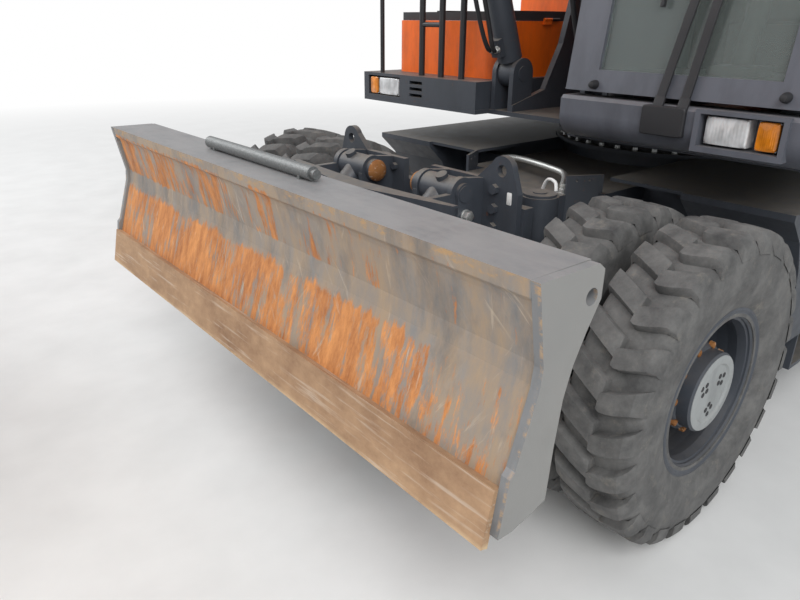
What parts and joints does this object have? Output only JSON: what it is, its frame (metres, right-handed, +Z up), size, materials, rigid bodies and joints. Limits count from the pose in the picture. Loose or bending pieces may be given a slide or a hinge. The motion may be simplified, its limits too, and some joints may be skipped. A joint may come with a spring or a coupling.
{
  "type": "wheeled excavator",
  "caption": "Wheeled excavator with twin tyres, dozer blade, side cab, slewing upper body, boom, stick and bucket, all on working joints.",
  "frame": {"origin": "bottom centre of the bounding box, on the ground", "axes": "+X forwards to the blade and bucket, +Y to the machine's left, +Z up"},
  "size_m": [7.2083, 2.504, 4.5204],
  "materials": {
    "slate_paint": "satin slate grey, dusty",
    "dark_paint": "satin dark grey",
    "orange_paint": "gloss orange",
    "blade_paint": "worn slate grey with rust",
    "cab_paint": "satin grey",
    "rim_paint": "satin slate grey",
    "bare_steel": "worn and rusted",
    "galvanised": "dull galvanised",
    "black_tube": "satin black",
    "cast": "painted casting",
    "chrome": "polished rod",
    "tyre": "dusty tread",
    "black_plastic": "matt black",
    "seat_cloth": "woven dark cloth",
    "lamp_lens": "clear lens",
    "glass": "tinted"
  },
  "bodies": {
    "chassis": {"chassis_frame": "slate_paint", "slew_ring": "cast", "blade_bracket": "slate_paint", "bracket_ears": "slate_paint", "hose_guard": "slate_paint", "step_boxes": "slate_paint", "front_axle": "slate_paint", "rear_axle": "slate_paint", "lock_cylinders": "slate_paint"},
    "track_rod": {"track_rod": "chrome"},
    "knuckle_left": {"knuckle_left": "slate_paint"},
    "knuckle_right": {"knuckle_right": "slate_paint"},
    "wheel_front_left": {"rim_front_left": "rim_paint", "tyres_front_left": "tyre"},
    "wheel_front_right": {"rim_front_right": "rim_paint", "tyres_front_right": "tyre"},
    "wheel_rear_left": {"rim_rear_left": "rim_paint", "tyres_rear_left": "tyre"},
    "wheel_rear_right": {"rim_rear_right": "rim_paint", "tyres_rear_right": "tyre"},
    "blade_arms": {"blade_arms": "slate_paint"},
    "blade_link": {"blade_link": "slate_paint"},
    "blade": {"blade_plate": "blade_paint", "blade_end_left": "blade_paint", "blade_end_right": "blade_paint", "cutting_edge": "bare_steel", "blade_tube": "galvanised"},
    "blade_barrels": {"blade_barrels": "slate_paint"},
    "blade_rods": {"blade_rods": "chrome"},
    "upper": {"deck": "slate_paint", "counterweight": "dark_paint", "engine": "cast", "bodywork": "orange_paint", "tool_box": "orange_paint", "lamp_box": "slate_paint", "handrails": "black_tube", "cab_shell": "cab_paint", "cab_glass": "glass", "cab_bumper": "cab_paint", "cab_interior": "black_plastic", "seat": "seat_cloth", "lamps": "lamp_lens", "mirrors": "black_plastic"},
    "hood": {"hood": "dark_paint"},
    "service_door_left": {"service_door_left": "orange_paint"},
    "service_door_right": {"service_door_right": "orange_paint"},
    "tool_lid": {"tool_lid": "dark_paint"},
    "cab_door": {"cab_door": "cab_paint", "door_glass": "glass"},
    "boom": {"boom": "orange_paint"},
    "boom_barrels": {"boom_barrels": "slate_paint"},
    "boom_rods": {"boom_rods": "chrome"},
    "stick": {"stick": "orange_paint"},
    "stick_barrel": {"stick_barrel": "slate_paint"},
    "stick_rod": {"stick_rod": "chrome"},
    "bucket": {"bucket": "bare_steel"},
    "bucket_barrel": {"bucket_barrel": "slate_paint"},
    "bucket_rod": {"bucket_rod": "chrome"},
    "rocker": {"rocker": "slate_paint"},
    "bucket_link": {"bucket_link": "slate_paint"}
  },
  "joints": [
    {"name": "steer", "type": "hinge", "parent": "chassis", "child": "knuckle_left", "pos_m": [-0.061, 0.62, 0.53], "axis": [0, 0, 1], "range_deg": [-24, 24]},
    {"name": "steer_right", "type": "hinge", "parent": "chassis", "child": "knuckle_right", "pos_m": [-0.061, -0.62, 0.53], "axis": [0, 0, 1], "range_deg": [-24.2, 24.2]},
    {"name": "track_rod_slide", "type": "slide", "parent": "chassis", "child": "track_rod", "axis": [0, 1, 0], "range_m": [-0.08578, 0.08578]},
    {"name": "wheel_front_left", "type": "hinge", "parent": "knuckle_left", "child": "wheel_front_left", "pos_m": [-0.061, 0.965, 0.53], "axis": [0, 1, 0], "continuous": true},
    {"name": "wheel_front_right", "type": "hinge", "parent": "knuckle_right", "child": "wheel_front_right", "pos_m": [-0.061, -0.965, 0.53], "axis": [0, 1, 0], "continuous": true},
    {"name": "wheel_rear_left", "type": "hinge", "parent": "chassis", "child": "wheel_rear_left", "pos_m": [-2.711, 0.965, 0.53], "axis": [0, 1, 0], "continuous": true},
    {"name": "wheel_rear_right", "type": "hinge", "parent": "chassis", "child": "wheel_rear_right", "pos_m": [-2.711, -0.965, 0.53], "axis": [0, 1, 0], "continuous": true},
    {"name": "blade_lift", "type": "hinge", "parent": "chassis", "child": "blade_arms", "pos_m": [0.249, 0, 0.4], "axis": [0, 1, 0], "range_deg": [0, 62]},
    {"name": "blade_level", "type": "hinge", "parent": "blade_arms", "child": "blade", "pos_m": [0.75901, 0, 0.70645], "axis": [0, 1, 0], "range_deg": [-62.2, 0]},
    {"name": "blade_link_turn", "type": "hinge", "parent": "chassis", "child": "blade_link", "pos_m": [0.249, 0, 0.694], "axis": [0, 1, 0], "range_deg": [0, 62.2]},
    {"name": "blade_cylinder_turn", "type": "hinge", "parent": "chassis", "child": "blade_barrels", "pos_m": [0.215, 0, 1.041], "axis": [0, 1, 0], "range_deg": [0, 16.94]},
    {"name": "blade_cylinder_stroke", "type": "slide", "parent": "blade_barrels", "child": "blade_rods", "axis": [0.6801, 0, -0.7331], "range_m": [0, 0.39025]},
    {"name": "slew", "type": "hinge", "parent": "chassis", "child": "upper", "pos_m": [-1.811, 0, 1.025], "axis": [0, 0, 1], "continuous": true},
    {"name": "cab_door_hinge", "type": "hinge", "parent": "upper", "child": "cab_door", "pos_m": [-1.431, 1.245, 1.64], "axis": [0, 0, 1], "range_deg": [0, 120]},
    {"name": "hood_hinge", "type": "hinge", "parent": "upper", "child": "hood", "pos_m": [-3.059, 0, 2.008], "axis": [0, -1, 0], "range_deg": [0, 55]},
    {"name": "service_door_left_hinge", "type": "hinge", "parent": "upper", "child": "service_door_left", "pos_m": [-2.957, 1.2445, 1.5], "axis": [0, 0, 1], "range_deg": [0, 100]},
    {"name": "service_door_right_hinge", "type": "hinge", "parent": "upper", "child": "service_door_right", "pos_m": [-2.957, -1.2325, 1.5], "axis": [0, 0, -1], "range_deg": [0, 100]},
    {"name": "tool_lid_hinge", "type": "hinge", "parent": "upper", "child": "tool_lid", "pos_m": [-1.311, -0.366, 1.608], "axis": [-1, 0, 0], "range_deg": [0, 80]},
    {"name": "boom_lift", "type": "hinge", "parent": "upper", "child": "boom", "pos_m": [-1.261, 0, 1.8], "axis": [0, -1, 0], "range_deg": [-35, 25]},
    {"name": "boom_cylinder_turn", "type": "hinge", "parent": "upper", "child": "boom_barrels", "pos_m": [-0.711, 0, 1.37], "axis": [0, -1, 0], "range_deg": [-33.35, 23.88]},
    {"name": "boom_cylinder_stroke", "type": "slide", "parent": "boom_barrels", "child": "boom_rods", "axis": [0.3718, 0, 0.9283], "range_m": [-0.4136, 0.296]},
    {"name": "stick_crowd", "type": "hinge", "parent": "boom", "child": "stick", "pos_m": [2.92673, 0, 3.93376], "axis": [0, 1, 0], "range_deg": [-60, 30]},
    {"name": "stick_cylinder_turn", "type": "hinge", "parent": "boom", "child": "stick_barrel", "pos_m": [0.27985, 0, 3.84211], "axis": [0, 1, 0], "range_deg": [-4.83, 2.51]},
    {"name": "stick_cylinder_stroke", "type": "slide", "parent": "stick_barrel", "child": "stick_rod", "axis": [0.9805, 0, 0.1967], "range_m": [-0.5284, 0.2652]},
    {"name": "bucket_curl", "type": "hinge", "parent": "stick", "child": "bucket", "pos_m": [3.12719, 0, 1.64251], "axis": [0, 1, 0], "range_deg": [-75, 15]},
    {"name": "rocker_turn", "type": "hinge", "parent": "stick", "child": "rocker", "pos_m": [3.13392, 0, 2.02455], "axis": [0, 1, 0], "range_deg": [-63.39, 12.84]},
    {"name": "bucket_link_turn", "type": "hinge", "parent": "rocker", "child": "bucket_link", "pos_m": [3.55232, 0, 1.98794], "axis": [0, 1, 0], "range_deg": [-7.05, 34.47]},
    {"name": "bucket_cylinder_turn", "type": "hinge", "parent": "stick", "child": "bucket_barrel", "pos_m": [3.35397, 0, 3.63987], "axis": [0, 1, 0], "range_deg": [-1.06, 4.48]},
    {"name": "bucket_cylinder_stroke", "type": "slide", "parent": "bucket_barrel", "child": "bucket_rod", "axis": [0.1192, 0, -0.9929], "range_m": [-0.43129, 0.08786]}
  ],
  "couplings": [
    {"joint": "steer_right", "follows": "steer", "ratio": 1},
    {"joint": "track_rod_slide", "follows": "steer", "m_per_rad": -0.2},
    {"joint": "blade_level", "follows": "blade_lift", "ratio": -1},
    {"joint": "blade_link_turn", "follows": "blade_lift", "ratio": 1},
    {"joint": "blade_cylinder_turn", "follows": "blade_lift", "ratio": 0.27001},
    {"joint": "blade_cylinder_stroke", "follows": "blade_lift", "m_per_rad": 0.35879},
    {"joint": "boom_cylinder_turn", "follows": "boom_lift", "ratio": 0.94711},
    {"joint": "boom_cylinder_stroke", "follows": "boom_lift", "m_per_rad": 0.6738},
    {"joint": "stick_cylinder_turn", "follows": "stick_crowd", "ratio": 0.077158},
    {"joint": "stick_cylinder_stroke", "follows": "stick_crowd", "m_per_rad": 0.50267},
    {"joint": "rocker_turn", "follows": "bucket_curl", "ratio": 0.84247},
    {"joint": "bucket_link_turn", "follows": "bucket_curl", "ratio": -0.45689},
    {"joint": "bucket_cylinder_turn", "follows": "bucket_curl", "ratio": -0.057086},
    {"joint": "bucket_cylinder_stroke", "follows": "bucket_curl", "m_per_rad": 0.32796}
  ]
}
